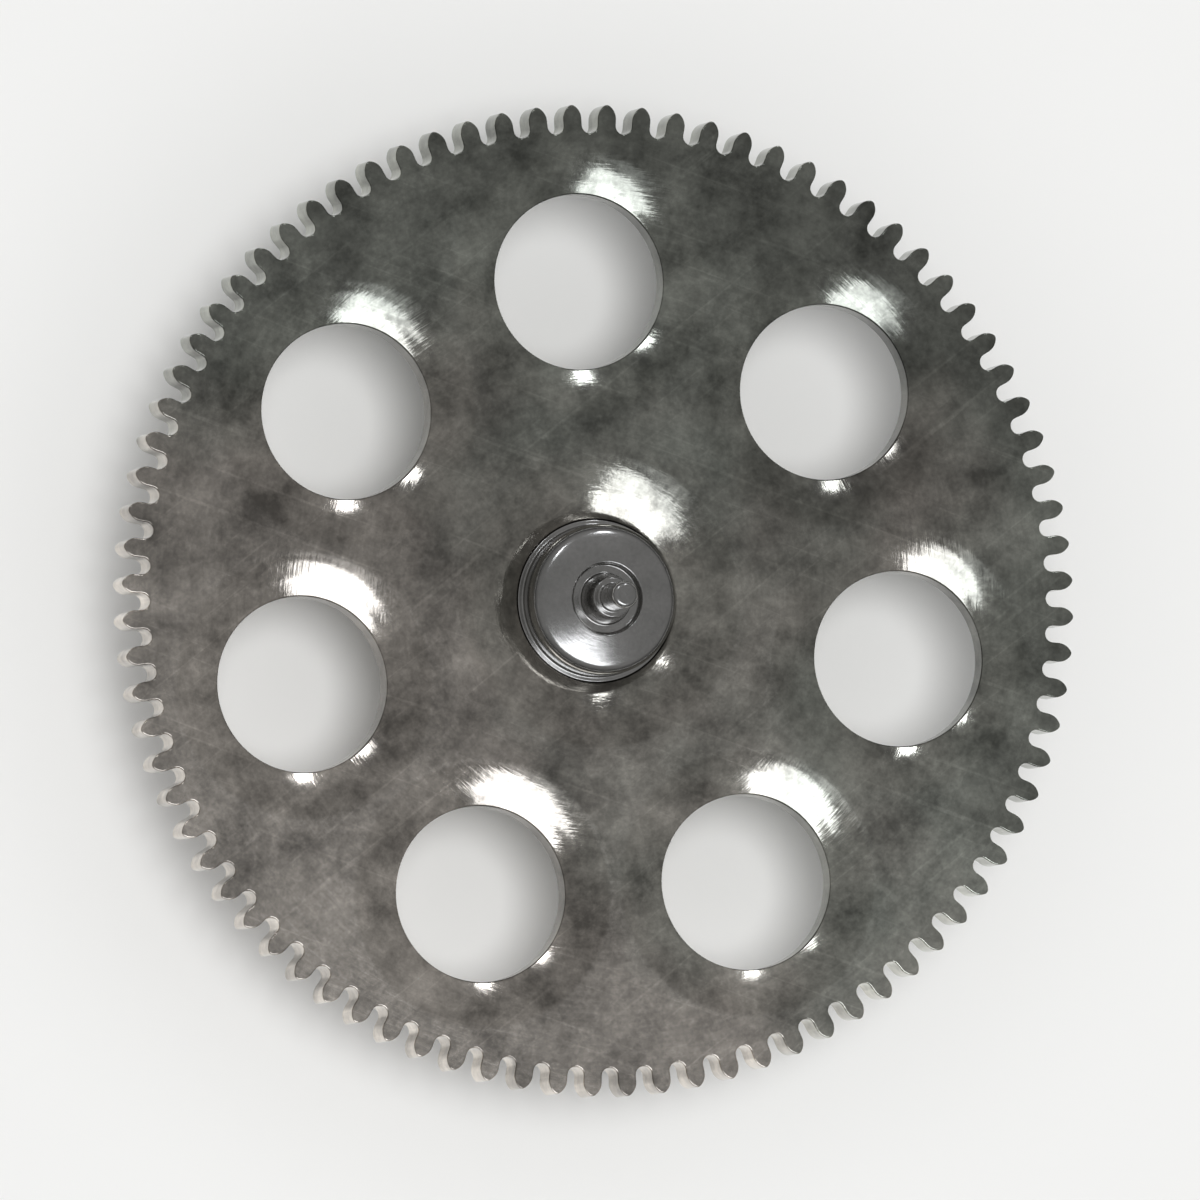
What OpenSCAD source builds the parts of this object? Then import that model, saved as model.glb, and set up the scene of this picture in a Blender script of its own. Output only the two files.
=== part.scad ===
// Second wheel of a watch: a thin toothed plate with round holes, riveted onto a steel pinion.
// All sizes are in millimetres, and tooth heights are in modules.
// The arbor stands along Z. Z is 0 at the shoulder of the lower pivot, and the pinion is below the plate.

/* [Wheel plate] */
// Number of teeth on the wheel
wheel_teeth = 84; // [72:4:100]
// Module of the wheel's teeth: the pitch diameter divided by their number
wheel_module = 0.0667; // [0.058:0.0001:0.08]
// Thickness of the plate
plate_t = 0.2; // [0.16:0.01:0.3]
// Number of round holes that lighten the plate
hole_count = 7; // [4:1:8]
// Radius of each round hole
hole_r = 0.51; // [0.3:0.01:0.56]
// Width of the solid rim between the tooth roots and the round holes
rim_w = 0.35; // [0.26:0.01:0.4]

/* [Rolled edges] */
// How far the rolled edge of a round hole spreads over the top face
roll_w = 0.28; // [0.12:0.01:0.28]
// How deep that rolled edge has sunk where it meets its hole
roll_d = 0.055; // [0.03:0.005:0.08]
// How far the rolled edge round the pinion's seat spreads over the top face
seat_roll_w = 0.38; // [0.2:0.01:0.4]
// How deep that rolled edge has sunk where it meets the seat
seat_roll_d = 0.08; // [0.05:0.005:0.1]
// Slope at which a rolled edge leaves the top face, in degrees
roll_start = 4; // [2:0.5:6]

/* [Wheel teeth] */
// Height of a wheel tooth above the pitch circle, in modules
wheel_addendum = 1.2; // [1:0.01:1.22]
// Depth of a wheel tooth below the pitch circle, in modules
wheel_dedendum = 1.3; // [1.2:0.01:1.8]
// Thickness of a wheel tooth on the pitch circle, in modules
wheel_thickness = 1.66; // [1.5:0.01:1.7]
// Radius of the two arcs that point a wheel tooth, in modules
wheel_arc = 1.34; // [1.3:0.01:2]

/* [Pinion] */
// Number of leaves on the pinion
leaf_count = 10; // [10:1:14]
// Module of the pinion's leaves
leaf_module = 0.1; // [0.095:0.001:0.12]
// Length of the leaves, from their lower face to the plate
leaf_len = 0.8; // [0.5:0.01:1.2]
// Height of a leaf above the pitch circle, in modules
leaf_addendum = 0.67; // [0.6:0.01:0.68]
// Depth of a leaf below the pitch circle, in modules
leaf_dedendum = 1.85; // [1.6:0.01:1.9]
// Thickness of a leaf on the pitch circle, in modules
leaf_thickness = 1.05; // [1.02:0.01:1.2]
// Radius of the two arcs that round a leaf, in modules
leaf_arc = 0.7; // [0.69:0.01:1.2]

/* [Rivet] */
// Radius of the pinion's seat and of the bore that it fills in the plate
seat_r = 0.46; // [0.45:0.01:0.52]
// How far riveting has spread the top of the seat into the plate
spread_w = 0.02; // [0.01:0.005:0.04]
// Height over which the seat spreads
spread_h = 0.04; // [0.02:0.005:0.08]
// Radius of the riveted end that stands above the seat
rivet_r = 0.44; // [0.38:0.01:0.45]
// Height of the riveted end above the plate
rivet_h = 0.16; // [0.12:0.01:0.25]
// Radius of the dome that its face is part of
rivet_dome_r = 1.8; // [0.9:0.05:2.5]
// Rounding between its face and its side
rivet_round = 0.075; // [0.03:0.005:0.08]

/* [Arbor] */
// Radius of the lower shank, between the leaves and the lower pivot, where it leaves the leaves
lower_shank_r = 0.18; // [0.14:0.01:0.2]
// Length of the lower shank
lower_shank_len = 0.12; // [0.06:0.01:0.6]
// Radius of the upper shank, between the riveted end and the upper pivot, where it leaves the rivet
upper_shank_r = 0.14; // [0.12:0.01:0.18]
// Length of the upper shank
upper_shank_len = 0.1; // [0.06:0.01:0.6]
// How much each shank has narrowed, in radius, where it meets its pivot
shank_taper = 0.025; // [0.01:0.005:0.03]
// Radius of the lower pivot
lower_pivot_r = 0.08; // [0.06:0.005:0.1]
// Length of the lower pivot
lower_pivot_len = 0.3; // [0.15:0.01:0.5]
// Radius of the upper pivot
upper_pivot_r = 0.08; // [0.06:0.005:0.08]
// Length of the upper pivot
upper_pivot_len = 0.26; // [0.15:0.01:0.5]
// Rounding at the tip of each pivot
pivot_round = 0.03; // [0.01:0.005:0.04]
// Width of the hollow turned round each shank, in the face of the leaves and of the riveted end
hollow_w = 0.07; // [0.03:0.01:0.08]
// Depth of the turned hollows
hollow_d = 0.05; // [0.02:0.01:0.07]
// How far each side of a turned hollow slopes in by its bottom
hollow_draft = 0.01; // [0.005:0.005:0.01]

/* [Hidden] */
$fn = 64;
// How far a cutter reaches past the face that it opens
past = 0.05;
// Straight pieces along each arc of a tooth, and along the round bottom of each tooth space
arc_steps = 4;
root_steps = 6;
// How far the round bottom of a tooth space curves up at its sides, in modules
root_rise = 0.7;

wheel_pitch_r = wheel_teeth * wheel_module / 2;
wheel_root_r = wheel_pitch_r - wheel_dedendum * wheel_module;
hole_circle_r = wheel_root_r - rim_w - hole_r;
leaf_z = lower_shank_len;
plate_z = leaf_z + leaf_len;
plate_top = plate_z + plate_t;
seat_top = plate_top - seat_roll_d;
spread_r = seat_r + spread_w;
rivet_top = plate_top + rivet_h;

// A rolled edge is an arc that leaves the top face at roll_start and steepens down to the hole.
// This is the radius of the arc that is w wide and d deep.
function roll_r(w, d) = w / (sin(2 * atan(d / w) - roll_start) - sin(roll_start));

// Point at radius r and angle a
function polar(r, a) = [r * cos(a), r * sin(a)];

// Turn along a tooth's arc, in degrees, at which the arc reaches the tip circle
function arc_turn(pitch_r, tip_r, arc_r) =
    let (across = 2 * pitch_r * arc_r, back = 2 * arc_r * arc_r)
    atan2(back, across)
        + asin((tip_r * tip_r - pitch_r * pitch_r - back) / sqrt(across * across + back * back));

// Point on the tooth arc that starts on the pitch circle at angle half, after a turn t towards the tip
function arc_point(pitch_r, arc_r, half, t) =
    let (x = pitch_r + arc_r * sin(t), y = arc_r * (cos(t) - 1))
    polar(norm([x, y]), half + atan2(y, x));

// Outline of one tooth at angle 0 and the tooth space before it, counter-clockwise
function tooth_points(count, module_size, addendum, dedendum, thickness, arc) =
    let (
        pitch_r = count * module_size / 2,
        root_r = pitch_r - dedendum * module_size,
        half = thickness * module_size / (2 * pitch_r) * 180 / PI,
        arc_r = arc * module_size,
        turn = arc_turn(pitch_r, pitch_r + addendum * module_size, arc_r),
        space = 360 / count - 2 * half,
        space_points = [for (i = [0:root_steps])
            let (u = 2 * i / root_steps - 1)
            polar(root_r + root_rise * module_size * (1 - sqrt(1 - u * u)), -half - space * (1 - u) / 2)],
        flank = [for (i = [0:arc_steps]) arc_point(pitch_r, arc_r, half, turn * i / arc_steps)]
    )
    concat(
        space_points,
        [for (p = flank) [p[0], -p[1]]],
        [for (i = [arc_steps:-1:0]) flank[i]]
    );

// The same points turned by angle a
function turned(points, a) =
    [for (p = points) [p[0] * cos(a) - p[1] * sin(a), p[0] * sin(a) + p[1] * cos(a)]];

// Flat outline of a whole gear, with a tooth at angle 0
module gear_outline(count, module_size, addendum, dedendum, thickness, arc) {
    tooth = tooth_points(count, module_size, addendum, dedendum, thickness, arc);
    polygon([for (i = [0:count - 1]) each turned(tooth, i * 360 / count)]);
}

module wheel_outline() {
    gear_outline(wheel_teeth, wheel_module, wheel_addendum, wheel_dedendum, wheel_thickness, wheel_arc);
}

module leaf_outline() {
    gear_outline(leaf_count, leaf_module, leaf_addendum, leaf_dedendum, leaf_thickness, leaf_arc);
}

// Cutter for a rolled edge w wide and d deep, round a hole that has radius r where the edge meets it
module rolled_edge(r, w, d) {
    arc_r = roll_r(w, d);
    translate([0, 0, plate_top])
        rotate_extrude()
            difference() {
                translate([0, -d])
                    square([r + w, d + past]);
                translate([r + w + arc_r * sin(roll_start), -arc_r * cos(roll_start)])
                    circle(r = arc_r);
            }
}

// Pinion's seat, or the bore for it, reaching down to z = bottom
module seat(bottom) {
    translate([0, 0, bottom])
        cylinder(r = seat_r, h = seat_top - spread_h - bottom);
    translate([0, 0, seat_top - spread_h])
        cylinder(r1 = seat_r, r2 = spread_r, h = spread_h);
}

// Rod from z = 0 up to len, with its top rim rounded
module round_ended_rod(r, len, rounding) {
    rotate_extrude()
        union() {
            square([r, len - rounding]);
            square([r - rounding, len]);
            translate([r - rounding, len - rounding])
                circle(r = rounding);
        }
}

// Tapered shank from z = 0 up to len, with a pivot on it
module shank_and_pivot(shank_r, len, pivot_r, pivot_len) {
    cylinder(r1 = shank_r, r2 = shank_r - shank_taper, h = len);
    round_ended_rod(pivot_r, len + pivot_len, pivot_round);
}

// Ring-shaped cutter that sinks hollow_d below z = 0, right round a shank of radius r
module turned_hollow(r) {
    rotate_extrude()
        polygon([
            [r, past], [r, 0], [r + hollow_draft, -hollow_d],
            [r + hollow_w - hollow_draft, -hollow_d], [r + hollow_w, 0], [r + hollow_w, past]
        ]);
}

module wheel_plate() {
    color("#6b6762")
        difference() {
            translate([0, 0, plate_z])
                linear_extrude(plate_t)
                    wheel_outline();
            seat(plate_z - past);
            rolled_edge(spread_r, seat_roll_w, seat_roll_d);
            for (i = [0:hole_count - 1])
                rotate([0, 0, 90 + i * 360 / hole_count])
                    translate([hole_circle_r, 0, 0]) {
                        translate([0, 0, plate_z - past])
                            cylinder(r = hole_r, h = plate_t + 2 * past);
                        rolled_edge(hole_r, roll_w, roll_d);
                    }
        }
}

// Half outline of the riveted end: a straight side up from the plate's underside, a rounding, and a
// domed face that is highest at the upper shank
module rivet_outline() {
    edge_r = rivet_r - rivet_round;
    dome_z = rivet_top - sqrt(rivet_dome_r * rivet_dome_r - upper_shank_r * upper_shank_r);
    edge_z = dome_z + sqrt(pow(rivet_dome_r - rivet_round, 2) - edge_r * edge_r);
    union() {
        translate([0, plate_z])
            square([rivet_r, edge_z - plate_z]);
        translate([edge_r, edge_z])
            circle(r = rivet_round);
        intersection() {
            translate([0, plate_z])
                square([edge_r * rivet_dome_r / (rivet_dome_r - rivet_round), rivet_top - plate_z]);
            translate([0, dome_z])
                circle(r = rivet_dome_r);
        }
    }
}

module pinion_arbor() {
    color("#8c8a86") {
        difference() {
            union() {
                translate([0, 0, leaf_z])
                    linear_extrude(leaf_len)
                        leaf_outline();
                seat(plate_z);
                rotate_extrude()
                    rivet_outline();
            }
            translate([0, 0, rivet_top])
                turned_hollow(upper_shank_r);
            translate([0, 0, leaf_z])
                mirror([0, 0, 1])
                    turned_hollow(lower_shank_r);
        }
        translate([0, 0, rivet_top])
            shank_and_pivot(upper_shank_r, upper_shank_len, upper_pivot_r, upper_pivot_len);
        translate([0, 0, leaf_z])
            mirror([0, 0, 1])
                shank_and_pivot(lower_shank_r, lower_shank_len, lower_pivot_r, lower_pivot_len);
    }
}

wheel_plate();
pinion_arbor();
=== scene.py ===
"""A watch's second wheel: a thin toothed plate riveted onto a steel pinion.

Lengths are in millimetres and angles in radians, unless a comment says otherwise.
Meshes are scaled to metres when they are made.
"""

import math

import bpy
from mathutils import Matrix, Vector
from mathutils.geometry import delaunay_2d_cdt


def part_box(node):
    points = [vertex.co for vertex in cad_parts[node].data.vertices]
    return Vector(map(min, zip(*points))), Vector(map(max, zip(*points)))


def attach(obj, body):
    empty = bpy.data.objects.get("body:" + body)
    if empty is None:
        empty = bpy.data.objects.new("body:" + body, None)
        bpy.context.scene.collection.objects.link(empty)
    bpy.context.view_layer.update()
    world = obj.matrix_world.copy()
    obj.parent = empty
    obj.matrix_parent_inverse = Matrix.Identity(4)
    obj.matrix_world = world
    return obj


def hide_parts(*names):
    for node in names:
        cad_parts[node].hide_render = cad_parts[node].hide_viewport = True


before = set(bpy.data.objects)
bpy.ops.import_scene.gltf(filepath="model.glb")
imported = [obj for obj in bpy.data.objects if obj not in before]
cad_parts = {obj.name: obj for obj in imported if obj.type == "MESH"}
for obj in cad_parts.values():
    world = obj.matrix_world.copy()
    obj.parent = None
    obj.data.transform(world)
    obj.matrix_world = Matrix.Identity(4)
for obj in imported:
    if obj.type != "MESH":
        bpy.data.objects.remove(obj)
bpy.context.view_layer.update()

MM = 0.001

# Gears: the tooth's addendum, dedendum, thickness and flank arc are in modules
WHEEL = {"count": 84, "module": 0.0667, "addendum": 1.2, "dedendum": 1.3, "thickness": 1.66, "arc": 1.34}
LEAVES = {"count": 10, "module": 0.1, "addendum": 0.67, "dedendum": 1.85, "thickness": 1.05, "arc": 0.7}
# How far the round bottom of a tooth space rises at its sides, in modules
ROOT_RISE = 0.7
SPACE_STEPS = 10
ARC_STEPS = 6
# A corner of a gear's outline is softened from this turn on, over this share of an edge at most
SHARP_TURN = 0.35
CORNER_SHARE = 0.45

# Wheel plate, with its heights from the frame
PLATE_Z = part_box("wheel_plate")[0].z / MM
PLATE_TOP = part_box("wheel_plate")[1].z / MM
HOLE_COUNT = 7
HOLE_R = 0.51
RIM_W = 0.35
# Rolled edges round the holes and round the seat. Their slope grows with a power of the way in
ROLL_W = 0.28
ROLL_D = 0.055
ROLL_POWER = 0.7
SEAT_ROLL_W = 0.38
SEAT_ROLL_D = 0.08
SEAT_ROLL_POWER = 0.5
ROLL_STEPS = 24
# More than 1 sets the steps of a rolled edge closer together at the plate's flat face
ROLL_SPACING = 1.3
# Points of a rolled edge nearer than this to its wall's rounded corner are left out
ROLL_CLEAR = 0.0001
# Rounding of the sharp edges, and the steps in it
TOOTH_EDGE = 0.008
TOOTH_EDGE_STEPS = 3
TIP_CORNER = 0.007
HOLE_EDGE = 0.012

# Pinion and riveted end, with the lowest and highest point from the frame
BOTTOM_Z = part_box("pinion_arbor")[0].z / MM
TOP_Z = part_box("pinion_arbor")[1].z / MM
LEAF_Z = 0.12
LEAF_EDGE = 0.012
LEAF_EDGE_STEPS = 4
LEAF_CORNER = 0.004
SEAT_R = 0.46
SEAT_GAP = 0.002
SPREAD_W = 0.02
SPREAD_H = 0.04
RIVET_R = 0.44
RIVET_H = 0.16
RIVET_DOME_R = 1.8
RIVET_ROUND = 0.075
RIVET_ROUND_STEPS = 8
DOME_STEPS = 10

# Arbor
LOWER_SHANK_R = 0.18
UPPER_SHANK_R = 0.14
UPPER_SHANK_LEN = 0.1
SHANK_TAPER = 0.025
PIVOT_R = 0.08
PIVOT_ROUND = 0.03
HOLLOW_W = 0.07
HOLLOW_D = 0.05
HOLLOW_DRAFT = 0.01
HOLLOW_LIP = 0.02

# Rounding of the turned corners
SEAT_CORNER = 0.006
SPREAD_CORNER = 0.008
RIVET_FOOT = 0.012
HOLLOW_CORNER = 0.01
SHANK_FOOT = 0.005
SHANK_CORNER = 0.008
PIVOT_FOOT = 0.01

SEAT_TOP = PLATE_TOP - SEAT_ROLL_D
RIVET_TOP = PLATE_TOP + RIVET_H
UPPER_SHOULDER = RIVET_TOP + UPPER_SHANK_LEN
SPREAD_R = SEAT_R + SPREAD_W
FITTED_SEAT_R = SEAT_R - SEAT_GAP
WHEEL_ROOT_R = (WHEEL["count"] / 2 - WHEEL["dedendum"]) * WHEEL["module"]
HOLE_CIRCLE_R = WHEEL_ROOT_R - RIM_W - HOLE_R

# Finish of a face, which the wheel's material reads: a wall that is painted darker as shade, the flat
# face, or a polished edge
SHADED_WALL = -1.0
SATIN = 0.0
BURNISHED = 1.0
# A face of the plate that looks less far up or down than this is a wall
WALL_UPNESS = 0.7
# The flat face's finish has turned into a rolled edge's where upness is this much below 1
FINISH_BLEND = 0.004

# Steps round each circle, and at the seat over half a leaf space and over half a leaf
HOLE_STEPS = 120
BORE_STEPS = 180
ARBOR_STEPS = 120
SEAT_SPACE_STEPS = 7
SEAT_LEAF_STEPS = 5

# Two points nearer than this are the same, for the mesh and for the filling of a flat face
TOUCH = 1e-6
FILL_TOUCH = 1e-9
# Kind of triangulation that keeps to the inside of the outlines
INSIDE = 1

# Colours of the metals, each from one shade to another, and of the floor
WHEEL_WARM = (0.41, 0.378, 0.34, 1)
WHEEL_COOL = (0.365, 0.376, 0.334, 1)
STEEL_DARK = (0.38, 0.376, 0.364, 1)
STEEL_LIGHT = (0.47, 0.462, 0.45, 1)
FLOOR_COLOUR = (0.9, 0.9, 0.89, 1)
# Way across the plate along which a painted reflection makes it lighter and warmer
PAINTED_LIGHT_WAY = (-0.44, -0.9, 0)

FLOOR_W = 1200

# The photograph's millimetres a pixel, the square of pixels that the camera takes, and its distance
PHOTO_SCALE = 0.02676
VIEW_SQUARE = 260
PHOTO_DISTANCE = 175.0
# Way from the wheel to the photograph's camera, as parts to the picture's right and up of a unit vector
CAMERA_WAY = (-0.288, -0.065)
# The picture's right, as an angle from the row's +X
PICTURE_TURN = math.radians(-3.4)
SENSOR_W = 36.0
AIM = Vector((0, 0, PLATE_TOP))
LAMP_COLOUR = (0.92, 0.95, 1.0)
SUN_DISTANCE = 300.0
# The room's grey at two heights of a unit vector, and the backdrop that only the camera sees
ROOM_HEIGHTS = (0.05, 0.55)
ROOM_GREYS = (0.06, 0.27)
BACKDROP = (0.86, 0.86, 0.85, 1)


def polar(radius, angle):
    return Vector((radius * math.cos(angle), radius * math.sin(angle)))


def circle(steps):
    return [2 * math.pi * i / steps for i in range(steps)]


def ease(value, low, high):
    """0 up to low, 1 from high on, and smooth in between."""
    share = min(1.0, max(0.0, (value - low) / (high - low)))
    return share * share * (3 - 2 * share)


def arc_turn(pitch_r, reach_r, arc_r):
    """How far a tooth's arc has turned where it gets to reach_r."""
    across = 2 * pitch_r * arc_r
    back = 2 * arc_r * arc_r
    rise = reach_r * reach_r - pitch_r * pitch_r - back
    return math.atan2(back, across) + math.asin(rise / math.hypot(across, back))


def arc_point(pitch_r, arc_r, half, turn):
    """Point on the arc that starts on the pitch circle at angle half."""
    x = pitch_r + arc_r * math.sin(turn)
    y = arc_r * (math.cos(turn) - 1)
    return polar(math.hypot(x, y), half + math.atan2(y, x))


def tooth_points(gear, through=()):
    """The space before a tooth at angle 0, then the tooth.

    The flanks have an extra point at each radius in through.
    """
    module = gear["module"]
    pitch_r = gear["count"] * module / 2
    root_r = pitch_r - gear["dedendum"] * module
    rise = ROOT_RISE * module
    half = gear["thickness"] * module / (2 * pitch_r)
    arc_r = gear["arc"] * module
    last = arc_turn(pitch_r, pitch_r + gear["addendum"] * module, arc_r)
    space = 2 * math.pi / gear["count"] - 2 * half
    points = []
    for i in range(SPACE_STEPS + 1):
        across = -math.cos(math.pi * i / SPACE_STEPS)
        radius = root_r + rise * (1 - math.sqrt(1 - across * across))
        points.append(polar(radius, -half - space * (1 - across) / 2))
    turns = [last * i / ARC_STEPS for i in range(ARC_STEPS + 1)]
    turns += [arc_turn(pitch_r, r, arc_r) for r in through]
    flank = [arc_point(pitch_r, arc_r, half, t) for t in sorted(turns)]
    points += [Vector((p.x, -p.y)) for p in flank]
    return points + flank[::-1]


def soften(points, size):
    """Closed outline with each sharp corner replaced by a short curve."""
    made = []
    for i, p in enumerate(points):
        before, after = points[i - 1] - p, points[(i + 1) % len(points)] - p
        turn = math.pi - before.angle(after)
        if turn < SHARP_TURN:
            made.append(p)
            continue
        a = p + before.normalized() * min(size, before.length * CORNER_SHARE)
        b = p + after.normalized() * min(size, after.length * CORNER_SHARE)
        made += [a, (a + 2 * p + b) / 4, b]
    return made


def gear_outline(gear, corner, through=()):
    """Outline of a whole gear and the outward direction at each of its points."""
    tooth = tooth_points(gear, through)
    points = []
    for i in range(gear["count"]):
        turn = Matrix.Rotation(2 * math.pi * i / gear["count"], 2)
        points += [turn @ p for p in tooth]
    points = soften(points, corner)
    outward = []
    for i in range(len(points)):
        along = points[(i + 1) % len(points)] - points[i - 1]
        outward.append(Vector((along.y, -along.x)).normalized())
    return points, outward


def rounded(corners, steps=5):
    """Profile of (r, z, nr, nz) through corners of (r, z, rounding), each rounded one as an arc.

    The surface's outward side is on the right of the way that the profile runs.
    """
    spots = [Vector(c[:2]) for c in corners]
    made = []
    for i, p in enumerate(spots):
        ahead = (spots[i + 1] - p).normalized() if i + 1 < len(spots) else None
        behind = (p - spots[i - 1]).normalized() if i else ahead
        ahead = ahead or behind
        rounding = corners[i][2]
        if not rounding:
            way = (ahead + behind).normalized()
            made.append((p.x, p.y, way.y, -way.x))
            continue
        turn = math.atan2(behind.x * ahead.y - behind.y * ahead.x, behind.dot(ahead))
        side = math.copysign(rounding, turn)
        start = p - behind * rounding * math.tan(abs(turn) / 2)
        centre = start + Vector((-behind.y, behind.x)) * side
        for k in range(steps + 1):
            way = Matrix.Rotation(turn * k / steps, 2) @ behind
            spot = centre - Vector((-way.y, way.x)) * side
            made.append((spot.x, spot.y, way.y, -way.x))
    return made


class Skin:
    """A closed mesh, made ring by ring, that keeps its own normals."""

    def __init__(self):
        self.points = []
        self.normals = []
        self.faces = []
        self.flat = []
        self.finishes = []

    def ring(self, points, normals):
        first = len(self.points)
        self.points += [Vector(p) for p in points]
        self.normals += [Vector(n) for n in normals]
        return list(range(first, len(self.points)))

    def face(self, corners, finish, flat=False):
        self.faces.append(corners)
        self.flat.append(flat)
        self.finishes.append(finish)

    def strip(self, low, high, finish):
        """Faces between two rings that run counter-clockwise. A ring of one point closes to a tip."""
        for j in range(max(len(low), len(high))):
            a, b = low[j % len(low)], low[(j + 1) % len(low)]
            c, d = high[(j + 1) % len(high)], high[j % len(high)]
            if len(low) == 1:
                self.face([a, c, d], finish)
            elif len(high) == 1:
                self.face([a, b, d], finish)
            else:
                self.face([a, b, c, d], finish)

    def join(self, rings):
        """Burnished faces between each ring and the next."""
        for below, above in zip(rings, rings[1:]):
            self.strip(below, above, BURNISHED)

    def lathe(self, profile, angles, centre=(0, 0), finish=None):
        """Revolves a profile about a centre, and returns its rings.

        finish gives a face's finish from how far up it looks. Without it, all is burnished.
        """
        rings = []
        for r, z, nr, nz in profile:
            if r < TOUCH:
                rings.append(self.ring([(centre[0], centre[1], z)], [(0, 0, nz)]))
                continue
            spots = [polar(r, a) for a in angles]
            points = [(centre[0] + p.x, centre[1] + p.y, z) for p in spots]
            normals = [(nr * math.cos(a), nr * math.sin(a), nz) for a in angles]
            rings.append(self.ring(points, normals))
        for i in range(len(rings) - 1):
            upness = (profile[i][3] + profile[i + 1][3]) / 2
            self.strip(rings[i], rings[i + 1], finish(upness) if finish else BURNISHED)
        return rings

    def fill(self, outer, inners, up, finish):
        """Flat face inside one loop and outside the others, which are circles."""
        loops = [outer] + inners
        ids = [i for loop in loops for i in loop]
        spots = [self.points[i].to_2d() for i in ids]
        edges = []
        for loop in loops:
            start, n = len(edges), len(loop)
            edges += [(start + i, start + (i + 1) % n) for i in range(n)]
        spots, _, triangles, sources = delaunay_2d_cdt(spots, edges, [], INSIDE, FILL_TOUCH)[:4]
        discs = []
        for loop in inners:
            middle = sum((self.points[i].to_2d() for i in loop), Vector((0, 0))) / len(loop)
            discs.append((middle, (self.points[loop[0]].to_2d() - middle).length))
        for t in triangles:
            middle = sum((spots[i] for i in t), Vector((0, 0))) / len(t)
            if any((middle - c).length < r for c, r in discs):
                continue
            corners = [ids[sources[i][0]] for i in t]
            a, b, c = (self.points[i] for i in corners)
            if ((b - a).cross(c - a).z > 0) != up:
                corners.reverse()
            self.face(corners, finish, flat=True)

    def build(self, name, material):
        """The finished object, in metres."""
        mesh = bpy.data.meshes.new(name)
        mesh.from_pydata([p * MM for p in self.points], [], self.faces)
        mesh.materials.append(material)
        mesh.polygons.foreach_set("use_smooth", [True] * len(mesh.polygons))
        mesh.attributes.new("finish", "FLOAT", "FACE").data.foreach_set("value", self.finishes)
        mesh.update()
        corners = []
        for face in mesh.polygons:
            flat = self.flat[face.index]
            corners += [face.normal.copy() if flat else self.normals[v] for v in face.vertices]
        mesh.normals_split_custom_set(corners)
        piece = bpy.data.objects.new(name, mesh)
        bpy.context.scene.collection.objects.link(piece)
        return piece


def rolled_edge(r, width, depth, power):
    """Profile of a rolled edge, from the plate's top face in to radius r."""
    steepest = depth * (power + 1) / width
    made = []
    for i in range(ROLL_STEPS + 1):
        inwards = (i / ROLL_STEPS) ** ROLL_SPACING
        slope = math.atan(steepest * inwards**power)
        drop = depth * inwards ** (power + 1)
        made.append((r + width * (1 - inwards), PLATE_TOP - drop, -math.sin(slope), math.cos(slope)))
    return made


def hole_profile(roll, wall):
    """Rolled edge, then the rounded corners of a wall, down to the plate's underside."""
    r, z, nr, nz = roll[-1]
    lead = 2 * HOLE_EDGE
    turned = rounded([(r + nz * lead, z - nr * lead, 0), (r, z, HOLE_EDGE)] + wall)[1:]
    least_r = turned[0][0] + ROLL_CLEAR
    return [p for p in roll if p[0] > least_r] + turned


def plate_finish(upness):
    """Burnished on a rolled edge, painted darker as shade on a wall, and satin where the plate lies
    flat.
    """
    if abs(upness) < WALL_UPNESS:
        return SHADED_WALL
    return BURNISHED * ease(1 - abs(upness), 0.0, FINISH_BLEND)


def edge_ring(skin, outline, outward, edge, middle_z, slope):
    """Ring of a gear's rounded edge, where the edge looks up by slope. middle_z is its arc's centre."""
    inset = edge * (1 - math.cos(slope))
    z = middle_z + edge * math.sin(slope)
    points = [(p.x - n.x * inset, p.y - n.y * inset, z) for p, n in zip(outline, outward)]
    normals = [(n.x * math.cos(slope), n.y * math.cos(slope), math.sin(slope)) for n in outward]
    return skin.ring(points, normals)


def toothed_rim(skin):
    """The wall with the teeth and its two rounded edges. Returns its lowest and its highest ring."""
    outline, outward = gear_outline(WHEEL, TIP_CORNER)
    steps = TOOTH_EDGE_STEPS
    rings = []
    for i in range(steps + 1):
        slope = -math.pi / 2 * (1 - i / steps)
        rings.append(edge_ring(skin, outline, outward, TOOTH_EDGE, PLATE_Z + TOOTH_EDGE, slope))
    for i in range(steps + 1):
        slope = math.pi / 2 * i / steps
        rings.append(edge_ring(skin, outline, outward, TOOTH_EDGE, PLATE_TOP - TOOTH_EDGE, slope))
    skin.join(rings)
    return rings[0], rings[-1]


def wheel_plate(material):
    skin = Skin()
    low, high = toothed_rim(skin)
    wall = [(HOLE_R, PLATE_Z, HOLE_EDGE), (HOLE_R + 2 * HOLE_EDGE, PLATE_Z, 0)]
    bore_wall = [
        (SEAT_R, SEAT_TOP - SPREAD_H, SEAT_CORNER),
        (SEAT_R, PLATE_Z, HOLE_EDGE / 2),
        (SEAT_R + HOLE_EDGE, PLATE_Z, 0),
    ]
    profile = hole_profile(rolled_edge(HOLE_R, ROLL_W, ROLL_D, ROLL_POWER), wall)
    tops, bottoms = [], []
    for i in range(HOLE_COUNT):
        centre = polar(HOLE_CIRCLE_R, math.pi / 2 + 2 * math.pi * i / HOLE_COUNT)
        rings = skin.lathe(profile, circle(HOLE_STEPS), centre, plate_finish)
        tops.append(rings[0])
        bottoms.append(rings[-1])
    roll = rolled_edge(SPREAD_R, SEAT_ROLL_W, SEAT_ROLL_D, SEAT_ROLL_POWER)
    rings = skin.lathe(hole_profile(roll, bore_wall), circle(BORE_STEPS), finish=plate_finish)
    skin.fill(high, tops + [rings[0]], True, SATIN)
    skin.fill(low, bottoms + [rings[-1]], False, SATIN)
    return skin.build("wheel_plate_finish", material)


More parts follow.
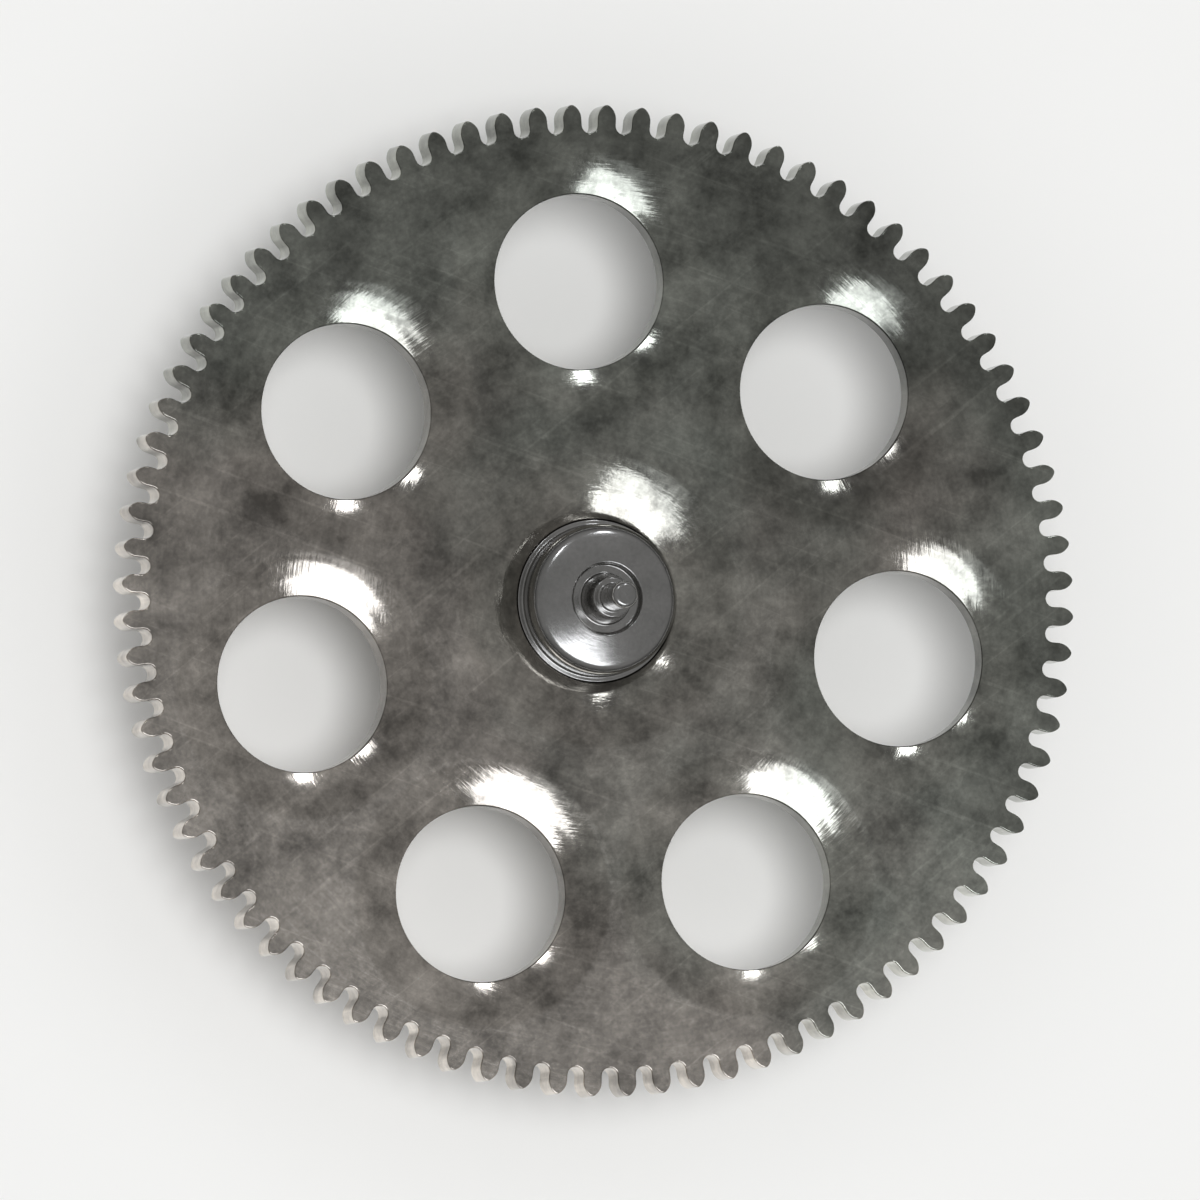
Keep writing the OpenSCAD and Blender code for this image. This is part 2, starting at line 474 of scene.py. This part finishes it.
def seat_angles(crossing):
    """Directions round the seat, with one wherever a leaf's flank crosses it.

    crossing is the angle between a leaf's middle and where its flank crosses the seat.
    """
    period = 2 * math.pi / LEAVES["count"]
    space = period / 2 - crossing
    half = [space * i / SEAT_SPACE_STEPS for i in range(SEAT_SPACE_STEPS + 1)]
    half += [space + crossing * i / SEAT_LEAF_STEPS for i in range(1, SEAT_LEAF_STEPS + 1)]
    one = half[:-1] + [period - a for a in reversed(half[1:])]
    return [period * (i - 0.5) + a for i in range(LEAVES["count"]) for a in one]


def dome():
    """Corners of the riveted end's profile: the rounding, and the domed face in to the hollow."""
    edge_r = RIVET_R - RIVET_ROUND
    dome_z = RIVET_TOP - math.sqrt(RIVET_DOME_R**2 - UPPER_SHANK_R**2)
    edge_z = dome_z + math.sqrt((RIVET_DOME_R - RIVET_ROUND) ** 2 - edge_r**2)
    touch = math.acos(edge_r / (RIVET_DOME_R - RIVET_ROUND))
    hollow = math.acos((UPPER_SHANK_R + HOLLOW_W) / RIVET_DOME_R)
    corners = []
    for i in range(RIVET_ROUND_STEPS + 1):
        spot = polar(RIVET_ROUND, touch * i / RIVET_ROUND_STEPS)
        corners.append((edge_r + spot.x, edge_z + spot.y, 0))
    for i in range(1, DOME_STEPS):
        spot = polar(RIVET_DOME_R, touch + (hollow - touch) * i / DOME_STEPS)
        corners.append((spot.x, dome_z + spot.y, 0))
    rim_z = dome_z + RIVET_DOME_R * math.sin(hollow)
    return corners + [(UPPER_SHANK_R + HOLLOW_W, rim_z, HOLLOW_CORNER)]


def upper_profile():
    """From the seat's underside up over the riveted end to the tip of the upper pivot."""
    hollow_z = RIVET_TOP - HOLLOW_D
    return rounded([
        (FITTED_SEAT_R, PLATE_Z, 0),
        (FITTED_SEAT_R, SEAT_TOP - SPREAD_H, SEAT_CORNER),
        (SPREAD_R - SEAT_GAP, SEAT_TOP, SPREAD_CORNER),
        (RIVET_R, SEAT_TOP, RIVET_FOOT),
        *dome(),
        (UPPER_SHANK_R + HOLLOW_W - HOLLOW_DRAFT, hollow_z, HOLLOW_CORNER),
        (UPPER_SHANK_R + HOLLOW_DRAFT, hollow_z, HOLLOW_CORNER),
        (UPPER_SHANK_R, RIVET_TOP, SHANK_FOOT),
        (UPPER_SHANK_R - SHANK_TAPER, UPPER_SHOULDER, SHANK_CORNER),
        (PIVOT_R, UPPER_SHOULDER, PIVOT_FOOT),
        (PIVOT_R, TOP_Z, PIVOT_ROUND),
        (0, TOP_Z, 0),
    ], steps=7)


def lower_profile():
    """From the tip of the lower pivot up to the lower face of the leaves."""
    hollow_z = LEAF_Z + HOLLOW_D
    return rounded([
        (0, BOTTOM_Z, 0),
        (PIVOT_R, BOTTOM_Z, PIVOT_ROUND),
        (PIVOT_R, 0, PIVOT_FOOT),
        (LOWER_SHANK_R - SHANK_TAPER, 0, SHANK_CORNER),
        (LOWER_SHANK_R, LEAF_Z, 0),
        (LOWER_SHANK_R + HOLLOW_DRAFT, hollow_z, HOLLOW_CORNER),
        (LOWER_SHANK_R + HOLLOW_W - HOLLOW_DRAFT, hollow_z, HOLLOW_CORNER),
        (LOWER_SHANK_R + HOLLOW_W, LEAF_Z, LEAF_EDGE),
        (LOWER_SHANK_R + HOLLOW_W + HOLLOW_LIP, LEAF_Z, 0),
    ], steps=6)


def leaves(skin):
    """The walls of the leaves with a rounded lower edge. Returns the lowest and the highest ring."""
    outline, outward = gear_outline(LEAVES, LEAF_CORNER, through=[FITTED_SEAT_R])
    rings = []
    for i in range(LEAF_EDGE_STEPS + 1):
        slope = -math.pi / 2 * (1 - i / LEAF_EDGE_STEPS)
        rings.append(edge_ring(skin, outline, outward, LEAF_EDGE, LEAF_Z + LEAF_EDGE, slope))
    rings.append(edge_ring(skin, outline, outward, LEAF_EDGE, PLATE_Z, 0))
    skin.join(rings)
    return rings[0], rings[-1]


def weld_seat(skin, leaf_ring, seat_ring):
    """Joins the top of the leaves to the seat, which share the plane of the plate's underside.

    Outside the seat a leaf has a top face, and between the leaves the seat has an underside.
    """
    same = {}
    for k in leaf_ring:
        if abs(skin.points[k].xy.length - FITTED_SEAT_R) < TOUCH:
            same[k] = min(seat_ring, key=lambda s: (skin.points[s] - skin.points[k]).length)
    for n, face in enumerate(skin.faces):
        skin.faces[n] = [same.get(k, k) for k in face]
    leaf = [same.get(k, k) for k in leaf_ring]
    shared = [i for i, k in enumerate(leaf) if k in same.values()]
    for a, b in zip(shared, shared[1:] + shared[:1]):
        count = (b - a) % len(leaf)
        path = [leaf[(a + i) % len(leaf)] for i in range(count + 1)]
        first, last = seat_ring.index(path[-1]), seat_ring.index(path[0])
        back_count = (first - last) % len(seat_ring)
        back = [seat_ring[(first - i) % len(seat_ring)] for i in range(1, back_count)]
        outside = skin.points[path[len(path) // 2]].xy.length > FITTED_SEAT_R
        skin.fill(path + back, [], outside, BURNISHED)


def pinion_arbor(material):
    skin = Skin()
    pitch_r = LEAVES["count"] * LEAVES["module"] / 2
    arc_r = LEAVES["arc"] * LEAVES["module"]
    half = LEAVES["thickness"] * LEAVES["module"] / (2 * pitch_r)
    flank = arc_point(pitch_r, arc_r, half, arc_turn(pitch_r, FITTED_SEAT_R, arc_r))
    upper = skin.lathe(upper_profile(), seat_angles(math.atan2(flank.y, flank.x)))
    lower = skin.lathe(lower_profile(), circle(ARBOR_STEPS))
    leaf_low, leaf_high = leaves(skin)
    skin.fill(leaf_low, [lower[-1]], False, BURNISHED)
    weld_seat(skin, leaf_high, upper[0])
    return skin.build("pinion_arbor_finish", material)


class Graph:
    """A material made of nodes, with short calls for the ones used here."""

    def __init__(self, name):
        self.material = bpy.data.materials.new(name)
        self.material.use_nodes = True
        self.tree = self.material.node_tree
        self.shader = self.tree.nodes["Principled BSDF"]

    def node(self, kind, inputs=(), **settings):
        made = self.tree.nodes.new("ShaderNode" + kind)
        for key, value in settings.items():
            setattr(made, key, value)
        for key, value in dict(inputs).items():
            self.feed(made.inputs[key], value)
        return made

    def feed(self, socket, value):
        if isinstance(value, bpy.types.NodeSocket):
            self.tree.links.new(value, socket)
        else:
            socket.default_value = value

    def math(self, operation, a, b, c=0.0):
        return self.node("Math", {0: a, 1: b, 2: c}, operation=operation).outputs[0]

    def vector(self, operation, a, b=(0, 0, 0)):
        return self.node("VectorMath", {0: a, 1: b}, operation=operation).outputs[0]

    def noise(self, vector, scale, detail, roughness):
        inputs = {"Vector": vector, "Scale": scale, "Detail": detail, "Roughness": roughness}
        return self.node("TexNoise", inputs).outputs[0]

    def product(self, *values):
        whole = values[0]
        for value in values[1:]:
            whole = self.math("MULTIPLY", whole, value)
        return whole

    def span(self, value, low, high, to_low, to_high):
        """Value from low..high mapped onto to_low..to_high, and held there outside."""
        inputs = {0: value, 1: low, 2: high, 3: to_low, 4: to_high}
        return self.node("MapRange", inputs).outputs[0]

    def blend(self, share, a, b):
        return self.node("Mix", {0: share, 6: a, 7: b}, data_type="RGBA").outputs[2]

    def scale_colour(self, colour, share):
        """The colour with each of its parts multiplied by share."""
        grey = self.node("CombineColor", {0: share, 1: share, 2: share}).outputs[0]
        inputs = {0: 1.0, 6: colour, 7: grey}
        return self.node("Mix", inputs, data_type="RGBA", blend_type="MULTIPLY").outputs[2]

    def millimetres(self):
        """Place on the piece, in millimetres, and its distance and direction from the arbor's axis."""
        metres = self.node("TexCoord").outputs["Object"]
        place = self.node("VectorMath", {0: metres, "Scale": 1 / MM}, operation="SCALE").outputs[0]
        across = self.vector("MULTIPLY", place, (1, 1, 0))
        radius = self.node("VectorMath", {0: across}, operation="LENGTH").outputs["Value"]
        return place, radius, self.vector("NORMALIZE", across)

    def round_grain(self, radius, direction, lines, turns):
        """Where to read a noise so that its grain runs round the axis.

        lines is how often the noise changes in a millimetre outwards, and turns how much it does
        along a circle.
        """
        spread = self.node("VectorMath", {0: direction, "Scale": turns}, operation="SCALE").outputs[0]
        depth = self.math("MULTIPLY", radius, lines)
        return self.vector("ADD", spread, self.node("CombineXYZ", {2: depth}).outputs[0])

    def hairlines(self, vector, turn):
        """Thin, sparse, straight marks, 0 to 1, that run at an angle of turn."""
        inputs = {"Vector": vector, "Angle": turn}
        turned = self.node("VectorRotate", inputs, rotation_type="Z_AXIS").outputs[0]
        drawn = self.vector("MULTIPLY", turned, (0.7, 30.0, 1.0))
        return self.span(self.noise(drawn, 1.0, 2.0, 0.5), 0.62, 0.72, 0, 1)

    def bump(self, height, rise):
        """Bump of a height from 0 to 1, whose full range is rise millimetres."""
        made = self.node("Bump", {"Height": height, "Distance": rise * MM, "Strength": 1.0})
        return made.outputs[0]


def handling_marks(g, place):
    """Two sets of hairlines, 0 to 1, from handling."""
    return g.math("ADD", g.hairlines(place, math.radians(-35)), g.hairlines(place, math.radians(22)))


def painted_light_depth(g, place):
    """How far a point lies along the way of the painted reflection, in millimetres, with a cloudy
    border.
    """
    across = g.node("VectorMath", {0: place, 1: PAINTED_LIGHT_WAY}, operation="DOT_PRODUCT").outputs["Value"]
    cloud = g.noise(place, 0.9, 3.0, 0.5)
    return g.math("ADD", across, g.span(cloud, 0.3, 0.7, -1.2, 1.2))


def wheel_metal():
    """Dark satin metal, stained and handled, with a faint round grain and brighter rolled edges. A
    painted reflection makes it lighter and warmer towards the lower left, and painted shade darkens the
    walls of the holes and the bore.
    """
    g = Graph("wheel_metal")
    place, radius, direction = g.millimetres()
    finish = g.node("Attribute", attribute_name="finish").outputs["Fac"]
    burnish = g.math("MAXIMUM", finish, 0.0)
    # Painted shade: the walls of the holes and the bore are darker
    wall_shade = g.math("MAXIMUM", g.math("MULTIPLY", finish, -1.0), 0.0)
    grain = g.noise(g.round_grain(radius, direction, 42.0, 7.0), 1.0, 3.0, 0.6)
    # Lighter and darker streaks that run out from the axis
    radial_streaks = g.noise(g.round_grain(radius, direction, 0.9, 5.0), 1.0, 3.0, 0.55)
    mottle = g.noise(place, 2.5, 5.0, 0.74)
    fine = g.noise(place, 28.0, 3.0, 0.6)
    warmth = g.noise(place, 0.35, 2.0, 0.5)
    # Painted reflection: lighter and warmer towards the lower left
    painted_light = painted_light_depth(g, place)
    # Warm and cool tint: random, and also a painted reflection that is warmer towards the lower left
    cool = g.span(g.math("MULTIPLY_ADD", painted_light, -0.07, warmth), 0.4, 0.6, 0, 1)
    colour = g.blend(cool, WHEEL_WARM, WHEEL_COOL)
    shade = g.product(
        g.span(mottle, 0.33, 0.67, 0.46, 1.5),
        g.span(radial_streaks, 0.35, 0.7, 0.92, 1.14),
        # Painted reflection: lighter towards the lower left, darker towards the upper right
        g.span(painted_light, -2.8, 2.8, 0.6, 1.36),
        g.span(fine, 0.3, 0.7, 0.9, 1.1),
        g.span(grain, 0.3, 0.7, 0.94, 1.06),
        g.span(handling_marks(g, place), 0, 1, 1.0, 1.18),
        g.span(burnish, 0, 1, 1.0, 1.05),
        # Painted shade on the walls of the holes and the bore
        g.span(wall_shade, 0, 1, 1.0, 0.4),
    )
    g.feed(g.shader.inputs["Base Color"], g.scale_colour(colour, shade))
    satin = g.math("ADD", g.span(mottle, 0.3, 0.7, 0.25, 0.18), g.span(fine, 0.3, 0.7, -0.02, 0.02))
    rough = g.node("Mix", {0: burnish, 2: satin, 3: g.span(fine, 0.3, 0.7, 0.09, 0.12)}).outputs[0]
    g.feed(g.shader.inputs["Roughness"], rough)
    height = g.math("ADD", g.math("MULTIPLY", grain, 0.7), g.math("MULTIPLY", fine, 0.3))
    g.feed(g.shader.inputs["Normal"], g.bump(height, rise=0.0009))
    g.shader.inputs["Metallic"].default_value = 1.0
    return g.material


def pinion_steel():
    """Polished steel with fine turning marks."""
    g = Graph("pinion_steel")
    place, radius, direction = g.millimetres()
    marks = g.noise(g.round_grain(radius, direction, 70.0, 3.0), 1.0, 3.0, 0.6)
    mottle = g.noise(place, 4.0, 4.0, 0.6)
    fine = g.noise(place, 40.0, 3.0, 0.6)
    colour = g.blend(g.span(mottle, 0.35, 0.65, 0, 1), STEEL_DARK, STEEL_LIGHT)
    g.feed(g.shader.inputs["Base Color"], g.scale_colour(colour, g.span(fine, 0.3, 0.7, 0.94, 1.06)))
    g.feed(g.shader.inputs["Roughness"], g.span(mottle, 0.3, 0.7, 0.2, 0.14))
    height = g.math("ADD", g.math("MULTIPLY", marks, 0.7), g.math("MULTIPLY", fine, 0.3))
    g.feed(g.shader.inputs["Normal"], g.bump(height, rise=0.0006))
    g.shader.inputs["Metallic"].default_value = 1.0
    return g.material


def pale_floor():
    """Plain matt surface that the lower pivot stands on."""
    g = Graph("pale_floor")
    place = g.millimetres()[0]
    tone = g.span(g.noise(place, 0.15, 3.0, 0.5), 0.3, 0.7, 0.98, 1.0)
    g.feed(g.shader.inputs["Base Color"], g.scale_colour(FLOOR_COLOUR, tone))
    g.shader.inputs["Roughness"].default_value = 1.0
    g.shader.inputs["Specular IOR Level"].default_value = 0.0
    half = FLOOR_W / 2 * MM
    corners = [(-half, -half), (half, -half), (half, half), (-half, half)]
    mesh = bpy.data.meshes.new("floor")
    mesh.from_pydata([(x, y, BOTTOM_Z * MM) for x, y in corners], [], [(0, 1, 2, 3)])
    mesh.materials.append(g.material)
    floor = bpy.data.objects.new("floor", mesh)
    bpy.context.scene.collection.objects.link(floor)


def way(right, up):
    """Unit vector in the row frame, from its parts to the right and up in the photograph."""
    out = math.sqrt(1 - right * right - up * up)
    return Matrix.Rotation(PICTURE_TURN, 3, "Z") @ Vector((right, up, out))


def look(obj, towards, distance, upwards):
    """Places obj at a distance from the wheel, looking at it, with its top towards upwards."""
    right = upwards.cross(towards).normalized()
    turn = Matrix((right, towards.cross(right), towards)).transposed()
    obj.matrix_world = Matrix.Translation((AIM + towards * distance) * MM) @ turn.to_4x4()
    bpy.context.scene.collection.objects.link(obj)


def camera():
    data = bpy.data.cameras.new("camera")
    data.sensor_width = SENSOR_W
    data.lens = SENSOR_W * PHOTO_DISTANCE / (VIEW_SQUARE * PHOTO_SCALE)
    data.clip_start = 10 * MM
    data.clip_end = 1000 * MM
    obj = bpy.data.objects.new("camera", data)
    picture_up = Matrix.Rotation(PICTURE_TURN, 3, "Z") @ Vector((0, 1, 0))
    look(obj, way(*CAMERA_WAY), PHOTO_DISTANCE, picture_up)
    bpy.context.scene.camera = obj


def panel(name, right, up, distance, wide, tall, radiance, turn=0.0):
    """Rectangular light for the metal only, in the direction that way() gives for right and up.

    turn is the angle from the picture's right to its width.
    """
    data = bpy.data.lights.new(name, "AREA")
    data.shape = "RECTANGLE"
    data.size = wide * MM
    data.size_y = tall * MM
    data.energy = radiance * math.pi * data.size * data.size_y
    data.color = LAMP_COLOUR
    obj = bpy.data.objects.new(name, data)
    towards = way(right, up)
    width_way = Matrix.Rotation(PICTURE_TURN + turn, 3, "Z") @ Vector((1, 0, 0))
    look(obj, towards, distance, towards.cross(width_way).normalized())
    obj.visible_camera = False
    obj.visible_diffuse = False


def sun(name, right, up, strength, spread):
    """Even light on the floor from far away, which no metal mirrors."""
    data = bpy.data.lights.new(name, "SUN")
    data.energy = strength
    data.angle = spread
    obj = bpy.data.objects.new(name, data)
    look(obj, way(right, up), SUN_DISTANCE, Vector((0, 1, 0)))
    obj.visible_camera = False
    obj.visible_glossy = False


def lights():
    """Soft panels on the picture's near side, small lamps on its far side, and two suns."""
    panel("panel_low", right=0.02, up=-0.46, distance=32.0, wide=19.0, tall=8.0,
          radiance=3.5, turn=math.radians(-10))
    panel("panel_middle", right=0.09, up=-0.3, distance=40.0, wide=13.7, tall=8.0,
          radiance=2.8, turn=math.radians(6))
    panel("panel_strip", right=0.108, up=-0.193, distance=60.0, wide=4.7, tall=23.0,
          radiance=0.6, turn=math.radians(-45))
    panel("far_lamp_right", right=0.265, up=0.63, distance=90.0, wide=6.0, tall=16.0, radiance=12.0)
    panel("far_lamp_left", right=-0.155, up=0.49, distance=90.0, wide=6.0, tall=13.0, radiance=12.0)
    sun("floor_light", right=-0.165, up=-0.02, strength=1.62, spread=math.radians(18))
    sun("floor_fill", right=-0.1, up=-0.1, strength=0.8, spread=math.radians(100))


def room():
    """Dim surroundings, lighter overhead, that the camera sees as a plain pale backdrop."""
    world = bpy.data.worlds.new("room")
    bpy.context.scene.world = world
    world.use_nodes = True
    tree = world.node_tree
    walls = tree.nodes["Background"]
    towards = tree.nodes.new("ShaderNodeTexCoord").outputs["Generated"]
    height = tree.nodes.new("ShaderNodeSeparateXYZ")
    tree.links.new(towards, height.inputs[0])
    grey = tree.nodes.new("ShaderNodeMapRange")
    from_low, from_high, to_low, to_high = grey.inputs[1:5]
    from_low.default_value, from_high.default_value = ROOM_HEIGHTS
    to_low.default_value, to_high.default_value = ROOM_GREYS
    tree.links.new(height.outputs["Z"], grey.inputs[0])
    tree.links.new(grey.outputs[0], walls.inputs["Color"])
    backdrop = tree.nodes.new("ShaderNodeBackground")
    backdrop.inputs["Color"].default_value = BACKDROP
    seen = tree.nodes.new("ShaderNodeLightPath").outputs["Is Camera Ray"]
    mix = tree.nodes.new("ShaderNodeMixShader")
    tree.links.new(seen, mix.inputs[0])
    tree.links.new(walls.outputs[0], mix.inputs[1])
    tree.links.new(backdrop.outputs[0], mix.inputs[2])
    tree.links.new(mix.outputs[0], tree.nodes["World Output"].inputs["Surface"])


def dress(piece, node):
    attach(piece, "root")
    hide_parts(node)


dress(wheel_plate(wheel_metal()), "wheel_plate")
dress(pinion_arbor(pinion_steel()), "pinion_arbor")
pale_floor()
camera()
lights()
room()
bpy.context.scene.view_settings.view_transform = "Standard"
